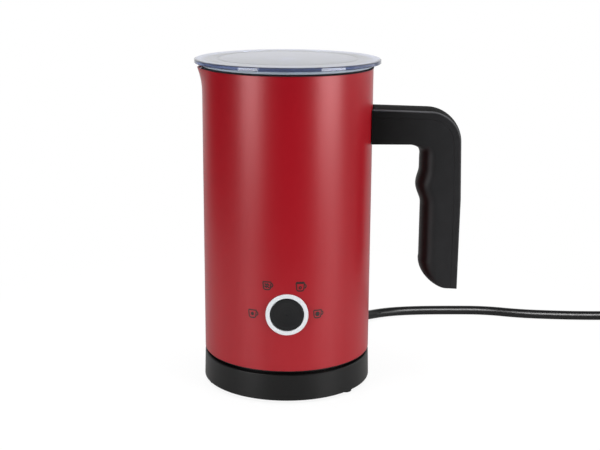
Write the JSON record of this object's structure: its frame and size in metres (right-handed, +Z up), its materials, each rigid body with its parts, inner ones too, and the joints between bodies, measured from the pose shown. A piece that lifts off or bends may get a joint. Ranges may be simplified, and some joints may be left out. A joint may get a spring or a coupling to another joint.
{
  "type": "milk frother",
  "caption": "Electric milk frother: a straight handled jug with pouring lip, plug-in lid, magnet-driven whisk and lit start button, standing on a round lift-off power base with mains cord.",
  "frame": {"origin": "on the jug's upright axis at the surface that the rubber feet stand on", "axes": "+Z up the jug's axis, +X towards the handle, -X towards the pouring lip, -Y towards the button"},
  "size_m": [0.3867, 0.1992, 0.201],
  "materials": {
    "red_paint": "satin lacquer on steel",
    "black_plastic": "fine grained black plastic",
    "button_black": "satin black plastic",
    "inner_plastic": "plain pale plastic",
    "clear_lid": "clear smoke-tinted plastic",
    "light_white": "translucent white plastic",
    "black_rubber": "matt black rubber",
    "cord_black": "smooth black sheath",
    "steel": "brushed stainless steel",
    "screw_steel": "bright zinc-plated steel",
    "magnet": "nickel-plated magnet",
    "aluminium": "cast aluminium",
    "brass": "bare brass",
    "circuit_board": "green circuit board",
    "whisk_black": "black food-safe plastic"
  },
  "bodies": {
    "base": {"base_shell": "black_plastic", "base_plate": "black_plastic", "rubber_feet": "black_rubber", "base_screws": "screw_steel", "base_connector": "black_plastic", "connector_contacts": "brass", "strain_relief": "black_rubber", "cord": "cord_black", "cord_coil": "cord_black", "cord_tail": "cord_black", "cord_tie": "black_rubber", "plug_body": "black_plastic", "plug_pins": "screw_steel", "earth_clips": "screw_steel"},
    "socket": {"socket_housing": "black_plastic", "socket_contacts": "brass"},
    "jug": {"outer_shell": "red_paint", "inner_pot": "steel", "whisk_pin": "steel", "bottom_cap": "black_plastic", "cap_screws": "screw_steel", "socket_retainer": "inner_plastic", "retainer_screws": "screw_steel", "spacer_posts": "steel", "standoffs": "steel", "motor_bracket": "steel", "motor_can": "steel", "motor_screws": "screw_steel", "heat_plate": "aluminium", "heating_element": "steel", "temperature_sensor": "steel", "thermal_cutout": "steel", "light_ring": "light_white", "button_housing": "inner_plastic", "control_board": "circuit_board", "board_screws": "screw_steel", "tact_switch": "circuit_board", "power_board": "circuit_board", "power_screws": "screw_steel", "handle_body": "black_plastic", "handle_cover": "black_plastic", "handle_bracket": "steel", "handle_screws": "screw_steel"},
    "rotor": {"motor_shaft": "steel", "magnet_carrier": "inner_plastic", "drive_magnets": "magnet"},
    "whisk": {"whisk_hub": "whisk_black", "whisk_coil": "steel", "whisk_magnets": "magnet"},
    "lid": {"lid_cover": "clear_lid", "lid_seal": "black_rubber"},
    "button": {"button_cap": "button_black"}
  },
  "joints": [
    {"name": "jug_lift", "type": "slide", "parent": "base", "child": "socket", "axis": [0, 0, 1], "range_m": [0, 0.1]},
    {"name": "jug_swivel", "type": "hinge", "parent": "socket", "child": "jug", "pos_m": [0, 0, 0], "axis": [0, 0, 1], "continuous": true},
    {"name": "lid_lift", "type": "slide", "parent": "jug", "child": "lid", "axis": [0, 0, 1], "range_m": [0, 0.08]},
    {"name": "rotor_spin", "type": "hinge", "parent": "jug", "child": "rotor", "pos_m": [0, 0, 0], "axis": [0, 0, 1], "continuous": true},
    {"name": "whisk_spin", "type": "hinge", "parent": "jug", "child": "whisk", "pos_m": [0, 0, 0], "axis": [0, 0, 1], "continuous": true},
    {"name": "button_press", "type": "slide", "parent": "jug", "child": "button", "axis": [0, 1, 0], "range_m": [0, 0.001], "stiffness_N_per_m": 1500, "springref_m": -0.0005}
  ],
  "couplings": [
    {"joint": "whisk_spin", "follows": "rotor_spin", "ratio": 1}
  ]
}
